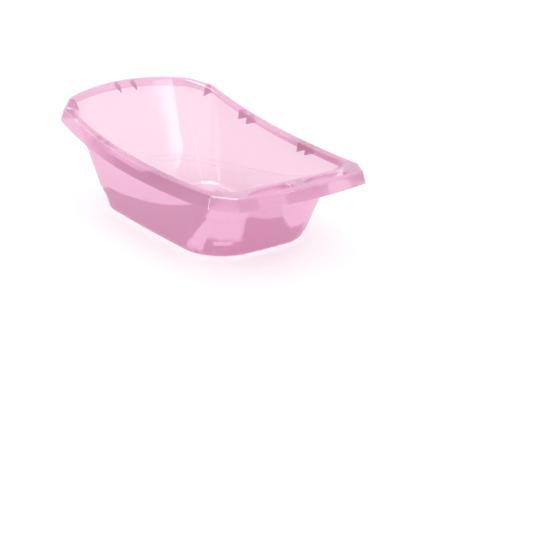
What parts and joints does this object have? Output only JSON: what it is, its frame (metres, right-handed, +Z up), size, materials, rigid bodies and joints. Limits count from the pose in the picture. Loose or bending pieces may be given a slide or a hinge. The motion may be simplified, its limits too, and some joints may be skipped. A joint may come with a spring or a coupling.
{
  "type": "baby bathtub",
  "caption": "Oblong translucent tub with a saddle-shaped rim, turned-down skirt, cut corners, stepped tapering walls, two soap rests and a lift-out drain stopper.",
  "frame": {"origin": "middle of the footprint, on the surface that the tub stands on", "axes": "+X along the tub towards the low foot end with the drain, +Y across it, +Z up"},
  "size_m": [0.8213, 0.4784, 0.271],
  "materials": {
    "tinted_plastic": "glossy translucent pink",
    "soft_plug": "soft satin pink"
  },
  "bodies": {
    "tub": {"tub_shell": "tinted_plastic"},
    "stopper": {"drain_plug": "soft_plug"}
  },
  "joints": [
    {"name": "stopper_lift", "type": "slide", "parent": "tub", "child": "stopper", "axis": [0, 0, 1], "range_m": [0, 0.3]}
  ]
}
